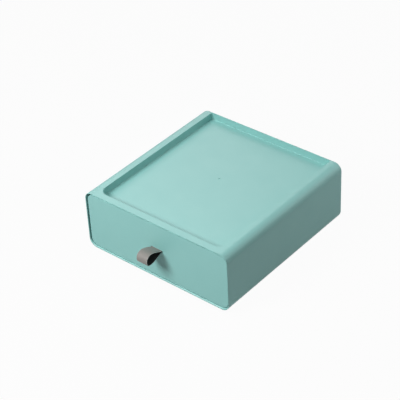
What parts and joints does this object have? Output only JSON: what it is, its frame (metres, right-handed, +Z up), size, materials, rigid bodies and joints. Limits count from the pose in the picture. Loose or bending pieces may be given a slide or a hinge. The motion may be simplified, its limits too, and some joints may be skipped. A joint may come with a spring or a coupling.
{
  "type": "stackable drawer box",
  "caption": "Low moulded box with a rounded open-fronted housing, a stacking tray sunk in its top, a drawer flush with its mouth and a leatherette strap loop to pull it.",
  "frame": {"origin": "centre of the bounding box on the plane the foot pads stand on", "axes": "+Z is up, -Y is the front, where the drawer opens, and X runs from left to right as seen from the front"},
  "size_m": [0.18, 0.2092, 0.071],
  "materials": {
    "housing_plastic": "fine matte moulded texture, pale sea green",
    "drawer_plastic": "fine matte moulded texture, pale sea green",
    "strap_leatherette": "grey leatherette, dark on its inner side",
    "retainer_plastic": "plain moulded",
    "screw_steel": "zinc-plated",
    "foot_pad_rubber": "soft translucent rubber"
  },
  "bodies": {
    "housing": {"housing": "housing_plastic", "foot_pad_front_left": "foot_pad_rubber", "foot_pad_front_right": "foot_pad_rubber", "foot_pad_rear_left": "foot_pad_rubber", "foot_pad_rear_right": "foot_pad_rubber"},
    "drawer": {"drawer": "drawer_plastic", "strap_tails": "strap_leatherette", "strap_retainer": "retainer_plastic", "strap_screw_left": "screw_steel", "strap_screw_right": "screw_steel"},
    "pull_loop": {"pull_loop": "strap_leatherette"}
  },
  "joints": [
    {"name": "drawer_slide", "type": "slide", "parent": "housing", "child": "drawer", "axis": [0, -1, 0], "range_m": [0, 0.14]},
    {"name": "pull_loop_flex", "type": "hinge", "parent": "drawer", "child": "pull_loop", "pos_m": [0.0012, -0.08382, 0.0399], "axis": [1, 0, 0], "range_deg": [-35, 35], "stiffness_Nm_per_rad": 0.004, "springref_deg": -0.86}
  ]
}
